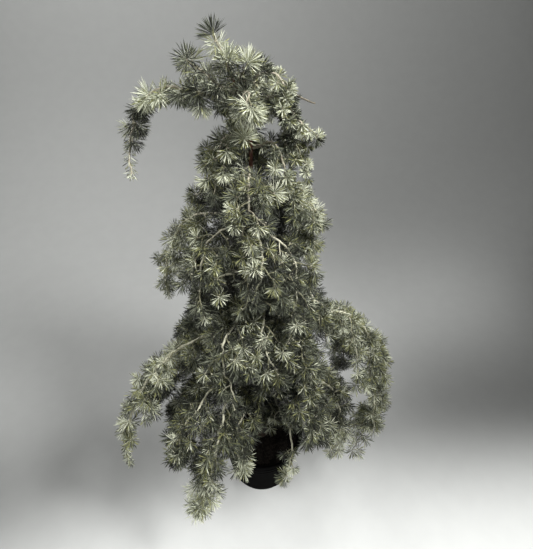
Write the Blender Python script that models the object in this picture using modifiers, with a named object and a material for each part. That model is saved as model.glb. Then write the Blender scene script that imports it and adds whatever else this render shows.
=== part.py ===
"""Potted weeping blue cedar: a young tree, 1.45 m tall, in a black nursery pot.

Run with: blender --background --python part.py
Metres, +Z up. The origin is the centre of the pot's flat underside. +X is the side that the
long low bough on the viewer's right reaches to, and -Y is the side that faces the viewer.
"""

import random
from collections import namedtuple
from math import cos, pi, radians, sin, sqrt

import bmesh
import bpy
from mathutils import Matrix, Vector
from mathutils.bvhtree import BVHTree
from mathutils.kdtree import KDTree

# Driving dimensions, in metres
POT_HEIGHT = 0.240
POT_RIM_RADIUS = 0.140
POT_BASE_RADIUS = 0.110
POT_WALL = 0.0025
POT_LIP_HEIGHT = 0.014
POT_LIP_DEPTH = 0.004
SOIL_HEIGHT = 0.212
TRUNK_TOP = 1.378
TRUNK_FOOT_RADIUS = 0.0125
TRUNK_TOP_RADIUS = 0.0026
ROOT_FLARE = 0.010
ROOT_FLARE_HEIGHT = 0.022
LEADER_NOD_FROM = 1.26
LEADER_NOD = 0.030
LEADER_LENGTH = 0.062
GAP = 0.0003

# How the boughs and twigs grow
SEED = 41
BOUGH_EASE = 1.7
BOUGH_COLLAR = 0.006
BOUGH_FOOT_RADIUS = 0.0046
STEM_TIP_RADIUS = 0.0018
WANDER = 0.022
TWIG_SHARE = 1.3
TWIG_SPREAD = 0.040
TWIG_RADIUS = 0.0015
TWIG_TIP_RADIUS = 0.0013
TWIG_PITCH = 0.125
SPRAY_LENGTH = 0.150
SPRAY_WIDTH = 0.112
SPRAY_PITCH = 0.143
SPRAY_TEETH = 5
SPRAY_THICKNESS = 0.0034
SPRAY_VALLEY = 0.62
SPRAY_TIP_SINK = 0.0022
SPRAY_SHRINK = 0.45
NEEDLE_REACH = 0.040
DEAD_TWIG = Vector((0.055, 0.000, -0.028))
SPACE_MARGIN = 0.016
CLEARANCE = 0.0009

# name, height on the trunk, azimuth (0 is +X, 90 the back, 270 the front), reach, rise of the
# arch, drop of the tip, length of its longest side shoots, bare share of the limb (0 is a mass
# that sits on the trunk), masses
Bough = namedtuple("Bough", "name height azimuth reach rise drop spread bare masses")
BOUGHS = (
    Bough("left_arm", 1.305, 176, 0.214, 0.074, 0.104, 0.026, 0.22, 2),
    Bough("shawl_right", 1.350, 352, 0.098, 0.050, 0.124, 0.022, 0, 1),
    Bough("top_left", 1.345, 190, 0.078, 0.026, -0.058, 0.022, 0, 1),
    Bough("top_back", 1.320, 88, 0.120, 0.045, 0.130, 0.050, 0, 1),
    Bough("top_front", 1.345, 290, 0.048, 0.016, 0.012, 0.024, 0, 1),
    Bough("top_right", 1.300, 25, 0.090, 0.050, 0.080, 0.034, 0, 1),
    Bough("neck_left", 1.262, 200, 0.066, 0.026, 0.100, 0.042, 0, 1),
    Bough("neck_right", 1.250, 340, 0.066, 0.026, 0.090, 0.042, 0, 1),
    Bough("neck_back", 1.225, 118, 0.130, 0.035, 0.160, 0.065, 0, 1),
    Bough("neck_front", 1.205, 262, 0.085, 0.018, 0.090, 0.055, 0, 1),
    Bough("shoulder_left", 1.090, 178, 0.207, 0.035, 0.245, 0.050, 0.22, 2),
    Bough("shoulder_right", 1.150, 8, 0.125, 0.035, 0.150, 0.050, 0, 1),
    Bough("shoulder_front", 1.090, 276, 0.120, 0.020, 0.120, 0.080, 0, 1),
    Bough("shoulder_front_left", 1.085, 226, 0.155, 0.030, 0.170, 0.078, 0, 1),
    Bough("shoulder_front_right", 1.065, 318, 0.130, 0.025, 0.170, 0.072, 0, 1),
    Bough("shoulder_back_left", 1.128, 135, 0.190, 0.040, 0.245, 0.075, 0, 1),
    Bough("shoulder_back_right", 1.110, 58, 0.180, 0.040, 0.210, 0.075, 0, 1),
    Bough("waist_left", 0.935, 188, 0.152, 0.030, 0.190, 0.048, 0, 1),
    Bough("waist_right", 0.930, 343, 0.155, 0.030, 0.130, 0.060, 0, 1),
    Bough("waist_front_left", 0.900, 246, 0.190, 0.030, 0.180, 0.085, 0, 1),
    Bough("waist_front", 0.880, 280, 0.160, 0.025, 0.150, 0.088, 0, 1),
    Bough("waist_front_right", 0.850, 315, 0.180, 0.025, 0.170, 0.088, 0, 1),
    Bough("waist_back_left", 0.910, 118, 0.230, 0.040, 0.260, 0.085, 0, 1),
    Bough("waist_back_right", 0.890, 70, 0.220, 0.040, 0.250, 0.085, 0, 1),
    Bough("skirt_far_left", 0.745, 208, 0.412, 0.085, 0.375, 0.055, 0.18, 2),
    Bough("skirt_left", 0.670, 184, 0.325, 0.045, 0.260, 0.085, 0.18, 1),
    Bough("skirt_front_left", 0.690, 228, 0.315, 0.040, 0.176, 0.080, 0.18, 1),
    Bough("skirt_front", 0.660, 245, 0.345, 0.045, 0.285, 0.050, 0.20, 2),
    Bough("skirt_middle", 0.600, 258, 0.235, 0.035, 0.150, 0.055, 0.22, 1),
    Bough("skirt_dangle", 0.580, 284, 0.245, 0.035, 0.176, 0.040, 0.22, 1),
    Bough("skirt_front_right", 0.700, 304, 0.240, 0.040, 0.190, 0.075, 0, 1),
    Bough("skirt_right", 0.755, 356, 0.345, 0.135, 0.405, 0.080, 0.18, 2),
    Bough("skirt_right_low", 0.620, 335, 0.255, 0.040, 0.218, 0.080, 0, 1),
    Bough("skirt_back_right", 0.700, 28, 0.335, 0.060, 0.380, 0.085, 0, 1),
    Bough("skirt_back", 0.720, 92, 0.320, 0.060, 0.400, 0.085, 0, 1),
    Bough("skirt_back_left", 0.680, 140, 0.330, 0.060, 0.380, 0.085, 0, 1),
    Bough("hem_left", 0.560, 188, 0.270, 0.030, 0.240, 0.080, 0, 1),
    Bough("hem_right", 0.500, 4, 0.265, 0.030, 0.190, 0.070, 0, 1),
    Bough("hem_front", 0.500, 276, 0.110, 0.024, 0.040, 0.035, 0, 1),
    Bough("hem_back", 0.500, 110, 0.250, 0.030, 0.220, 0.075, 0, 1),
)


def clear_scene():
    for obj in list(bpy.data.objects):
        bpy.data.objects.remove(obj)


def collection_named(name):
    made = bpy.data.collections.new(name)
    bpy.context.scene.collection.children.link(made)
    return made


def material(name, colour, roughness, metallic=0.0):
    made = bpy.data.materials.new(name)
    made.use_nodes = True
    shader = made.node_tree.nodes["Principled BSDF"]
    shader.inputs["Base Color"].default_value = (*colour, 1.0)
    shader.inputs["Roughness"].default_value = roughness
    shader.inputs["Metallic"].default_value = metallic
    made.diffuse_color = (*colour, 1.0)
    return made


clear_scene()
TREE = collection_named("potted_cedar")
HELPERS = collection_named("helpers")
HELPERS.hide_render = True
BARK = material("young_cedar_bark", (0.13, 0.10, 0.075), 0.85)
PALE_BARK = material("pale_shoot_bark", (0.38, 0.36, 0.29), 0.80)
NEEDLES = material("glaucous_needles", (0.20, 0.225, 0.175), 0.60)
PLASTIC = material("black_pot_plastic", (0.012, 0.012, 0.014), 0.45)
COMPOST = material("dark_compost", (0.010, 0.009, 0.008), 0.95)


def add_object(name, mesh, finish):
    mesh.materials.clear()
    mesh.materials.append(finish)
    made = bpy.data.objects.new(name, mesh)
    TREE.objects.link(made)
    return made


def smooth_all(mesh, angle=40):
    mesh.shade_smooth()
    mesh.set_sharp_from_angle(angle=radians(angle))


# Pot and compost: profiles turned about Z


def turned(name, profile, steps, finish):
    """A closed solid: an open profile from the axis out and back, spun by a Screw modifier."""
    mesh = bpy.data.meshes.new(name)
    mesh.from_pydata(
        [(r, 0.0, z) for r, z in profile],
        [(i, i + 1) for i in range(len(profile) - 1)],
        [],
    )
    made = add_object(name, mesh, finish)
    screw = made.modifiers.new("turn", "SCREW")
    screw.steps = steps
    screw.render_steps = steps
    screw.use_merge_vertices = True
    screw.merge_threshold = 0.00001
    return made


def pot_radius(z):
    """Outer radius of the pot's tapering wall."""
    return POT_BASE_RADIUS + (POT_RIM_RADIUS - POT_LIP_DEPTH - POT_BASE_RADIUS) * z / POT_HEIGHT


def build_pot():
    lip_foot = POT_HEIGHT - POT_LIP_HEIGHT
    inner_floor = POT_WALL
    profile = (
        (0.0, inner_floor),
        (pot_radius(inner_floor) - POT_WALL, inner_floor),
        (pot_radius(POT_HEIGHT) - POT_WALL, POT_HEIGHT),
        (POT_RIM_RADIUS, POT_HEIGHT),
        (POT_RIM_RADIUS, lip_foot),
        (pot_radius(lip_foot), lip_foot),
        (pot_radius(0.004), 0.004),
        (POT_BASE_RADIUS - 0.003, 0.0),
        (0.0, 0.0),
    )
    return turned("pot", profile, 36, PLASTIC)


def build_compost():
    floor = POT_WALL + GAP
    crown = 0.045
    edge = SOIL_HEIGHT - 0.006
    profile = (
        (0.0, SOIL_HEIGHT),
        (crown, SOIL_HEIGHT),
        (pot_radius(edge) - POT_WALL - 2 * GAP, edge),
        (pot_radius(floor) - POT_WALL - 2 * GAP, floor),
        (0.0, floor),
    )
    return turned("compost", profile, 36, COMPOST)


# Limbs: tapering tubes along smooth lines


def tube_profile(sides):
    """A small polygon that gives a limb its number of sides."""
    name = f"section_{sides}"
    found = bpy.data.objects.get(name)
    if found:
        return found
    ring = bpy.data.curves.new(name, "CURVE")
    ring.dimensions = "2D"
    spline = ring.splines.new("POLY")
    spline.points.add(sides - 1)
    for k, point in enumerate(spline.points):
        turn = 2 * pi * k / sides
        point.co = (cos(turn), sin(turn), 0.0, 1.0)
    spline.use_cyclic_u = True
    made = bpy.data.objects.new(name, ring)
    made.hide_render = True
    HELPERS.objects.link(made)
    return made


def tube_mesh(name, points, radii, sides):
    """A closed tapering tube through the points, as a mesh with its caps welded on."""
    line = bpy.data.curves.new(name, "CURVE")
    line.dimensions = "3D"
    line.bevel_mode = "OBJECT"
    line.bevel_object = tube_profile(sides)
    line.use_fill_caps = True
    spline = line.splines.new("POLY")
    spline.points.add(len(points) - 1)
    for point, place, radius in zip(spline.points, points, radii):
        point.co = (*place, 1.0)
        point.radius = radius
    guide = bpy.data.objects.new(name, line)
    HELPERS.objects.link(guide)
    bpy.context.view_layer.update()
    graph = bpy.context.evaluated_depsgraph_get()
    mesh = bpy.data.meshes.new_from_object(guide.evaluated_get(graph))
    bpy.data.objects.remove(guide)
    bpy.data.curves.remove(line)
    shape = bmesh.new()
    shape.from_mesh(mesh)
    bmesh.ops.remove_doubles(shape, verts=shape.verts, dist=0.00002)
    bmesh.ops.triangulate(shape, faces=shape.faces)
    bmesh.ops.recalc_face_normals(shape, faces=shape.faces)
    shape.to_mesh(mesh)
    shape.free()
    mesh.name = name
    return mesh


def trunk_centre(z):
    """The trunk's centreline: two slight bends, then the leader nods towards -X."""
    along = (z - SOIL_HEIGHT) / (TRUNK_TOP - SOIL_HEIGHT)
    nod = max(0.0, (z - LEADER_NOD_FROM) / (TRUNK_TOP - LEADER_NOD_FROM))
    x = 0.007 * sin(2.2 * pi * along) - 0.016 * along**3 - LEADER_NOD * nod**1.4
    y = 0.006 * sin(1.6 * pi * along) * along
    return Vector((x, y, z))


def trunk_radius(z):
    along = (z - SOIL_HEIGHT) / (TRUNK_TOP - SOIL_HEIGHT)
    taper = TRUNK_FOOT_RADIUS + (TRUNK_TOP_RADIUS - TRUNK_FOOT_RADIUS) * along**0.85
    flare = ROOT_FLARE * 2.718 ** (-(z - SOIL_HEIGHT) / ROOT_FLARE_HEIGHT)
    return taper + flare


def build_trunk():
    foot = SOIL_HEIGHT + GAP
    low_cuts = [foot, foot + 0.008, foot + 0.020, foot + 0.040, foot + 0.070]
    count = 20
    cuts = low_cuts + [0.32 + (TRUNK_TOP - 0.32) * k / count for k in range(count + 1)]
    points = [trunk_centre(z) for z in cuts]
    points[0] = trunk_centre(cuts[1]).copy()
    points[0].z = foot
    mesh = tube_mesh("trunk", points, [trunk_radius(z) for z in cuts], 8)
    smooth_all(mesh)
    return add_object("trunk", mesh, BARK)


def foot_distance(bark, root, out, foot):
    """How far out from the trunk's centreline a bough's flat foot stands, GAP off the bark."""
    up = Vector((0, 0, 1))
    across = out.cross(up)
    reach = 0.0
    for k in range(96):
        turn = 2 * pi * k / 24
        rim = (across * cos(turn) + up * sin(turn)) * (foot * (1 - k // 24 / 4))
        hit, _, _, _ = bark.ray_cast(root + rim + out * 0.05, -out)
        if hit:
            reach = max(reach, (hit - root).dot(out))
    return reach + GAP


def limb_line(bough, bark, steps=14):
    """The whole line of a bough: out of the bark level, up over an arch, and down to its tip."""
    chance = random.Random(f"{SEED} {bough.name}")
    turn = radians(bough.azimuth)
    out = Vector((cos(turn), sin(turn), 0.0))
    side = Vector((-sin(turn), cos(turn), 0.0))
    root = trunk_centre(bough.height)
    start = foot_distance(bark, root, out, limb_radius(bough, 0.0))
    phase = chance.uniform(0, 2 * pi)
    waves = chance.uniform(0.9, 1.5)
    wander = WANDER * min(1.0, bough.reach / 0.2)
    line = [root + out * start]
    for k in range(steps + 1):
        s = k / steps
        r = start + BOUGH_COLLAR + (bough.reach - start) * (1 - (1 - s) ** BOUGH_EASE)
        z = 4 * bough.rise * s * (1 - s) - bough.drop * s * s
        sway = wander * s * (sin(2 * pi * waves * s + phase) - sin(phase))
        line.append(root + out * r + side * sway + Vector((0, 0, z)))
    return line


def limb_radius(bough, s):
    """A bough's radius at share s of its line."""
    foot = min(BOUGH_FOOT_RADIUS, 0.0026 + 0.006 * bough.reach)
    foot = min(foot, 0.75 * trunk_radius(bough.height))
    return foot + (STEM_TIP_RADIUS - foot) * s**0.8


def cut_line(line, first, last):
    """The stretch of a line between two shares of its length, with its ends cut true."""
    lengths = [0.0]
    for a, b in zip(line, line[1:]):
        lengths.append(lengths[-1] + (b - a).length)
    total = lengths[-1]
    start, end = first * total, last * total

    def at(distance):
        for k in range(1, len(line)):
            if lengths[k] >= distance or k == len(line) - 1:
                share = (distance - lengths[k - 1]) / (lengths[k] - lengths[k - 1])
                return line[k - 1].lerp(line[k], share)
        return line[-1]

    inner = [
        (d / total, p) for d, p in zip(lengths, line) if start + 0.004 < d < end - 0.004
    ]
    return [(first, at(start)), *inner, (last, at(end))]


def mid_segment(line, share):
    """The share of a line's length that is halfway along the segment the given share is in."""
    lengths = [0.0]
    for a, b in zip(line, line[1:]):
        lengths.append(lengths[-1] + (b - a).length)
    for near, far in zip(lengths, lengths[1:]):
        if far >= share * lengths[-1]:
            return (near + far) / (2 * lengths[-1])
    return share


class Mass:
    """One mass of foliage: its stem's line, its twigs and its sprays."""

    def __init__(self, name, bough, stretch):
        self.name = name
        self.bough = bough
        self.stem = [point for _, point in stretch]
        self.shares = [share for share, _ in stretch]
        self.radii = [limb_radius(bough, s) for s, _ in stretch]
        self.chance = random.Random(f"{SEED} {name}")
        self.length = sum((b - a).length for a, b in zip(self.stem, self.stem[1:]))
        self.pieces = []


def split_bough(bough, bark):
    """The bare limb of a bough, if it has one, and its masses."""
    line = limb_line(bough, bark)
    length = sum((b - a).length for a, b in zip(line, line[1:]))
    gap = GAP / length
    bare = mid_segment(line, bough.bare) if bough.bare else 0.0
    limb = cut_line(line, 0.0, bare) if bough.bare else None
    first = bare + gap if bough.bare else 0.0
    if bough.masses == 1:
        return limb, [Mass(f"{bough.name}_foliage", bough, cut_line(line, first, 1.0))]
    bend = mid_segment(line, first + (1 - first) * 0.46)
    return limb, [
        Mass(f"{bough.name}_foliage", bough, cut_line(line, first, bend)),
        Mass(f"{bough.name}_tail", bough, cut_line(line, bend + gap, 1.0)),
    ]


def leader_mass():
    """The tuft that ends the trunk: the last stretch of the leader, bent further to -X."""
    tip = trunk_centre(TRUNK_TOP)
    before = trunk_centre(TRUNK_TOP - 0.01)
    along = (tip - before).normalized()
    bough = Bough("leader", TRUNK_TOP, 180, 0.05, 0, 0, 0.012, 0, 1)
    line = [tip + along * GAP]
    for k in range(1, 5):
        line.append(tip + along * (LEADER_LENGTH / 4 * k) + Vector((-0.0002 * k * k, 0, 0)))
    made = Mass("leader_foliage", bough, [(k / 4, p) for k, p in enumerate(line)])
    made.radii = [TRUNK_TOP_RADIUS - 0.0002 * k for k in range(5)]
    return made


# Foliage: twigs and toothed sprays, kept inside each mass's own space


def polygons_of(mesh, matrix=None):
    place = matrix or Matrix.Identity(4)
    points = [place @ v.co for v in mesh.vertices]
    return points, [tuple(p.vertices) for p in mesh.polygons]


class Space:
    """Says which mass a point belongs to, and what solids are already there."""

    def __init__(self, masses, limbs):
        self.owner = []
        samples = []
        for mass in masses:
            for a, b in zip(mass.stem, mass.stem[1:]):
                count = max(1, round((b - a).length / 0.010))
                for k in range(count):
                    samples.append(a.lerp(b, (k + 0.5) / count))
                    self.owner.append(mass)
        self.all_stems = KDTree(len(samples))
        for k, point in enumerate(samples):
            self.all_stems.insert(point, k)
        self.all_stems.balance()
        self.own = {}
        for mass in masses:
            mine = [p for p, who in zip(samples, self.owner) if who is mass]
            tree = KDTree(len(mine))
            for k, point in enumerate(mine):
                tree.insert(point, k)
            tree.balance()
            self.own[mass.name] = tree
        self.limbs = [BVHTree.FromPolygons(*polygons_of(mesh)) for mesh in limbs]
        self.placed = []

    def holds(self, mass, point, margin=SPACE_MARGIN):
        """True if the point is nearer to this mass's stem than to any other, or nearly so."""
        if point.z < 0.03:
            return False
        _, _, nearest = self.all_stems.find(point)
        _, _, mine = self.own[mass.name].find(point)
        return mine <= nearest + margin

    def touches(self, mass, shape, centre, size, own=False):
        """True if the shape meets a limb, a spray, or a stem or twig of another mass.

        With own set, it looks only at the stem and twigs of its own mass.
        """
        tree = BVHTree.FromPolygons(*shape)
        if not own and any(tree.overlap(limb) for limb in self.limbs):
            return True
        for owner, other, place, extent in self.placed:
            if (owner is mass) != own or (place - centre).length > size + extent:
                continue
            if tree.overlap(other):
                return True
        return False

    def take(self, owner, shape, centre, size):
        """Keeps the shape's room. A spray has no owner: its own mass's sprays avoid it too."""
        self.placed.append((owner, BVHTree.FromPolygons(*shape), centre, size))


def shape_reach(points):
    centre = sum(points, Vector()) / len(points)
    return centre, max((p - centre).length for p in points)


def spray_mesh():
    """A spray of needles as one toothed, cupped blade, thick at its heart.

    Its root is a narrow tooth that starts at the origin, and the blade reaches along +X.
    """
    mesh = bpy.data.meshes.new("spray")
    shape = bmesh.new()
    count = 2 * (SPRAY_TEETH + 1)
    bmesh.ops.create_uvsphere(shape, u_segments=count, v_segments=2, radius=1.0)
    heart = 0.42 * SPRAY_LENGTH
    for vert in shape.verts:
        if abs(vert.co.z) > 0.5:
            vert.co = Vector((heart, 0.0, 0.5 * SPRAY_THICKNESS * vert.co.z))
            continue
        turn = round(vert.co.xy.angle_signed(Vector((-1, 0)), 0.0) * count / (2 * pi))
        if turn % count == 0:
            vert.co = Vector()
            continue
        reach = SPRAY_VALLEY if turn % 2 else 1.0
        angle = 2 * pi * turn / count
        ahead = (SPRAY_LENGTH - heart) * reach * -cos(angle)
        aside = -0.5 * SPRAY_WIDTH * reach * sin(angle)
        vert.co = Vector((heart + ahead, aside, 0.16 * SPRAY_WIDTH * reach))
    shape.to_mesh(mesh)
    shape.free()
    return mesh


def place_on(point, axis, normal, size):
    """A matrix that roots a spray on a point, reaching along axis with its cup to normal."""
    across = normal.cross(axis).normalized()
    face = axis.cross(across)
    turn = Matrix((axis, across, face)).transposed().to_4x4()
    return Matrix.Translation(point) @ turn @ Matrix.Scale(size, 4)


def twig_line(mass, point, along, hand, share):
    """A side twig: leaves the stem at a slant, then weeps."""
    chance = mass.chance
    down = Vector((0, 0, -1))
    side = along.cross(down)
    if side.length < 0.2:
        turn = chance.uniform(0, 2 * pi)
        side = Vector((cos(turn), sin(turn), 0))
    side = side.normalized() * hand
    length = TWIG_SHARE * mass.bough.spread * chance.uniform(0.55, 1.0) * (1 - 0.45 * share)
    lift = Vector((0, 0, chance.uniform(0.0, 0.35)))
    heading = (side + along * 0.55 + lift).normalized()
    line = []
    for k in range(4):
        s = k / 3
        fall = 0.42 * length * s * s
        line.append(point + heading * (length * s * (1 - 0.25 * s)) + down * fall)
    return line


def grow_twigs(mass, space):
    """Side twigs, alternate left and right, that stay in the mass's space."""
    travelled = 0.02
    hand = mass.chance.choice((-1, 1))
    if mass.bough.spread < TWIG_SPREAD:
        return
    for k, (a, b) in enumerate(zip(mass.stem, mass.stem[1:])):
        travelled += (b - a).length
        if travelled < TWIG_PITCH:
            continue
        travelled = 0.0
        hand = -hand
        line = twig_line(mass, a, (b - a).normalized(), hand, mass.shares[k])
        for cut in (4, 3):
            trial = line[:cut]
            if not all(space.holds(mass, p) for p in trial[1:]):
                continue
            radii = [
                TWIG_RADIUS + (TWIG_TIP_RADIUS - TWIG_RADIUS) * i / (cut - 1)
                for i in range(cut)
            ]
            wide = tube_mesh("trial", trial, [r + CLEARANCE for r in radii], 3)
            shape = polygons_of(wide)
            bpy.data.meshes.remove(wide)
            centre, size = shape_reach(shape[0])
            if space.touches(mass, shape, centre, size):
                continue
            mass.pieces.append((tube_mesh("twig", trial, radii, 3), None))
            share = mass.shares[k] + 0.2 * (1 - mass.shares[k])
            mass.twigs.append((trial, [share] * cut, radii))
            space.take(mass, shape, centre, size)
            break


def add_dead_twig(mass, space):
    """The one bare stick, straight out to the right from the top of the shawl."""
    foot = mass.stem[len(mass.stem) // 2]
    line = [foot, foot + DEAD_TWIG * 0.5, foot + DEAD_TWIG]
    radii = [TWIG_RADIUS, TWIG_TIP_RADIUS, 0.0011]
    mass.pieces.append((tube_mesh("dead_twig", line, radii, 3), None))
    shape = polygons_of(mass.pieces[-1][0])
    space.take(mass, shape, *shape_reach(shape[0]))


def spray_sites(mass, pitch):
    """Points along the stem and the twigs where a spray may stand: tips first."""
    sites = []
    lines = [(mass.stem, mass.shares, mass.radii), *mass.twigs]
    for line, shares, radii in lines:
        heading = (line[-1] - line[-2]).normalized()
        sites.append((line[-1], heading, radii[-1], shares[-1], True))
        travelled = 0.7 * pitch
        for k in range(len(line) - 1, 0, -1):
            length = (line[k] - line[k - 1]).length
            along = (line[k] - line[k - 1]) / length
            while travelled < length:
                place = line[k] - along * travelled
                sites.append((place, along, radii[k - 1], shares[k - 1], False))
                travelled += pitch
            travelled -= length
    return sites


def outward(point, along):
    """Square to a stem, the direction that faces out of the crown and up."""
    out = point - trunk_centre(min(point.z, TRUNK_TOP))
    out.z = 0.0
    facing = out.normalized() + Vector((0, 0, 0.9))
    facing -= along * facing.dot(along)
    return facing.normalized()


def grow_sprays(mass, space, blade):
    """Toothed sprays left and right of the stem and twigs, each tried at a few angles."""
    chance = mass.chance
    scale = (mass.bough.spread + NEEDLE_REACH) / SPRAY_LENGTH
    hand = chance.choice((-1, 1))
    pitch = SPRAY_PITCH * (0.3 + 7 * mass.bough.spread)
    sites = spray_sites(mass, min(pitch, 0.4 * mass.length))
    for point, along, radius, share, at_tip in sites:
        facing = outward(point, along)
        hand = -hand
        for attempt in range(10):
            size = scale * (1.1 - SPRAY_SHRINK * share) * chance.uniform(0.9, 1.15)
            size *= 1 - 0.05 * attempt
            side = facing.cross(along) * (hand if attempt % 2 == 0 else -hand)
            slant = 0.15 if at_tip else chance.uniform(0.75, 1.35)
            axis = along * cos(slant) + side * sin(slant)
            lift = chance.uniform(-0.45, 0.35) * (1 + 0.1 * attempt)
            axis = (axis + facing * lift).normalized()
            normal = facing - axis * facing.dot(axis)
            normal = Matrix.Rotation(chance.uniform(-0.5, 0.5), 3, axis) @ normal.normalized()
            foot = point - axis * (SPRAY_TIP_SINK if at_tip else 0.0)
            place = place_on(foot, axis, normal, size)
            shape = polygons_of(blade, place)
            if not all(space.holds(mass, p) for p in shape[0]):
                continue
            wide = polygons_of(blade, place_on(foot - axis * CLEARANCE, axis, normal, size * 1.03))
            centre, extent = shape_reach(wide[0])
            clear = polygons_of(blade, Matrix.Translation(axis * 3 * radius) @ place)
            if space.touches(mass, wide, centre, extent):
                continue
            if space.touches(mass, clear, centre, extent, own=True):
                continue
            mass.pieces.append((blade, place))
            space.take(None, wide, centre, extent)
            break


def keep_main_shell(mesh):
    """Leaves the largest shell only: a hollow that fusing sealed is filled, a scrap dropped."""
    shape = bmesh.new()
    shape.from_mesh(mesh)
    unseen = set(shape.verts)
    shells = []
    while unseen:
        edge_of = [unseen.pop()]
        shell = set(edge_of)
        while edge_of:
            vert = edge_of.pop()
            for edge in vert.link_edges:
                other = edge.other_vert(vert)
                if other not in shell:
                    shell.add(other)
                    unseen.discard(other)
                    edge_of.append(other)
        shells.append(shell)
    main = max(shells, key=len)
    for shell in shells:
        if shell is not main:
            bmesh.ops.delete(shape, geom=list(shell), context="VERTS")
    shape.to_mesh(mesh)
    shape.free()


def fuse(mass):
    """Joins the stem, twigs and sprays of a mass in one solid."""
    stem = tube_mesh(mass.name, mass.stem, mass.radii, 3)
    made = add_object(mass.name, stem, NEEDLES)
    if not mass.pieces:
        return made
    parts = collection_named(f"{mass.name}_parts")
    parts.hide_render = True
    for mesh, matrix in mass.pieces:
        piece = bpy.data.objects.new("piece", mesh)
        if matrix:
            piece.matrix_world = matrix
        parts.objects.link(piece)
    join = made.modifiers.new("join", "BOOLEAN")
    join.operation = "UNION"
    join.operand_type = "COLLECTION"
    join.collection = parts
    join.solver = "MANIFOLD"
    bpy.context.view_layer.update()
    graph = bpy.context.evaluated_depsgraph_get()
    joined = bpy.data.meshes.new_from_object(made.evaluated_get(graph))
    made.modifiers.clear()
    keep_main_shell(joined)
    made.data = joined
    joined.materials.clear()
    joined.materials.append(NEEDLES)
    for piece in list(parts.objects):
        bpy.data.objects.remove(piece)
    bpy.data.collections.remove(parts)
    return made


def build_tree():
    trunk = build_trunk()
    bark = BVHTree.FromPolygons(*polygons_of(trunk.data))
    limbs, masses = [trunk.data], [leader_mass()]
    for bough in BOUGHS:
        limb, foliage = split_bough(bough, bark)
        masses += foliage
        if limb:
            points = [p for _, p in limb]
            radii = [limb_radius(bough, s) for s, _ in limb]
            mesh = tube_mesh(f"{bough.name}_bough", points, radii, 5)
            smooth_all(mesh)
            add_object(f"{bough.name}_bough", mesh, PALE_BARK)
            limbs.append(mesh)
    space = Space(masses, limbs)
    blade = spray_mesh()
    for mass in masses:
        mass.twigs = []
        stem = tube_mesh("trial", mass.stem, [r + 0.0002 for r in mass.radii], 3)
        shape = polygons_of(stem)
        bpy.data.meshes.remove(stem)
        space.take(mass, shape, *shape_reach(shape[0]))
    for mass in masses:
        grow_twigs(mass, space)
        if mass.bough.name == "shawl_right":
            add_dead_twig(mass, space)
    for mass in masses:
        grow_sprays(mass, space, blade)
    for mass in masses:
        fuse(mass)


build_pot()
build_compost()
build_tree()
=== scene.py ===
import random
from collections import namedtuple
from math import cos, exp, pi, radians, sin

import bmesh
import bpy
import numpy as np
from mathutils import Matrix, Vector, kdtree, noise


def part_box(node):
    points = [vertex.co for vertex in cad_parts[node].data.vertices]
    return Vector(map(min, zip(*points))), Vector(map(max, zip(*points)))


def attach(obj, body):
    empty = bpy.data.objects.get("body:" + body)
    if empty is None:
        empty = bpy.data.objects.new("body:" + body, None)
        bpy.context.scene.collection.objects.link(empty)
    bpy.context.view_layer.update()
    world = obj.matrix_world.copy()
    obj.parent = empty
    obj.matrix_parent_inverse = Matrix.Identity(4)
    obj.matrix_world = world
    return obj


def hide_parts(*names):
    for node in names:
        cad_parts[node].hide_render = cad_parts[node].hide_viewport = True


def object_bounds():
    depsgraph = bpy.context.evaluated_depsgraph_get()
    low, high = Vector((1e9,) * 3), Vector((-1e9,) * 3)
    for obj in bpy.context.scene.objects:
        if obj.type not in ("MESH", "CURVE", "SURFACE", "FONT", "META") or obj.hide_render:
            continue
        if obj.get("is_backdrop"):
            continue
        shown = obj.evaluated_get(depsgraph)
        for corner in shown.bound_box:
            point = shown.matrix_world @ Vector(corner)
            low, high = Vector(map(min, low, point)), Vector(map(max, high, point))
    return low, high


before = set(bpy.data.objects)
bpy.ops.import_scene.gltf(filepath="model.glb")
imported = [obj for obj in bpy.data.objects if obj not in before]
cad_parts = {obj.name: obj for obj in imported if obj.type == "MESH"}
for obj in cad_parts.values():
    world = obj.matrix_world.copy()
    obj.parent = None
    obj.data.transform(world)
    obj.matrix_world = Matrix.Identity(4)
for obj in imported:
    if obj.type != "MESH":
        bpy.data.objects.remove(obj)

CAD_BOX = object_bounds()

# The studio: a seamless roll of pale paper that hangs behind the tree and runs out over the
# floor. A soft lamp high on the right lights the tree, one fills from the left and one from
# behind, and three light the paper. The camera looks down from just above the tree's top.
CAMERA_PLACE = (0.017, -0.750, 1.600)
CAMERA_PITCH = 41.6
FOCAL_PIXELS = 430.0
FRAME_HEIGHT = 549.0
PAPER_FRONT = -4.0
PAPER_BEND = 0.7
PAPER_BEND_RADIUS = 1.9
PAPER_TOP = 5.0
PAPER_HALF_WIDTH = 5.0
UP = np.array((0.0, 0.0, 1.0))


def colour(hex_code):
    """An sRGB hex colour as linear red, green, blue and alpha."""
    parts = [int(hex_code[k:k + 2], 16) / 255 for k in (1, 3, 5)]
    lin = [c / 12.92 if c <= 0.04045 else ((c + 0.055) / 1.055) ** 2.4 for c in parts]
    return (*lin, 1.0)


def add_node(tree, kind, settings=None, links=None):
    """Adds a shader node, sets its options and inputs, and links outputs into its inputs."""
    made = tree.nodes.new("ShaderNode" + kind)
    for key, value in (settings or {}).items():
        if isinstance(key, int) or key in made.inputs:
            made.inputs[key].default_value = value
        else:
            setattr(made, key, value)
    for key, source in (links or {}).items():
        tree.links.new(source, made.inputs[key])
    return made


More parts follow.
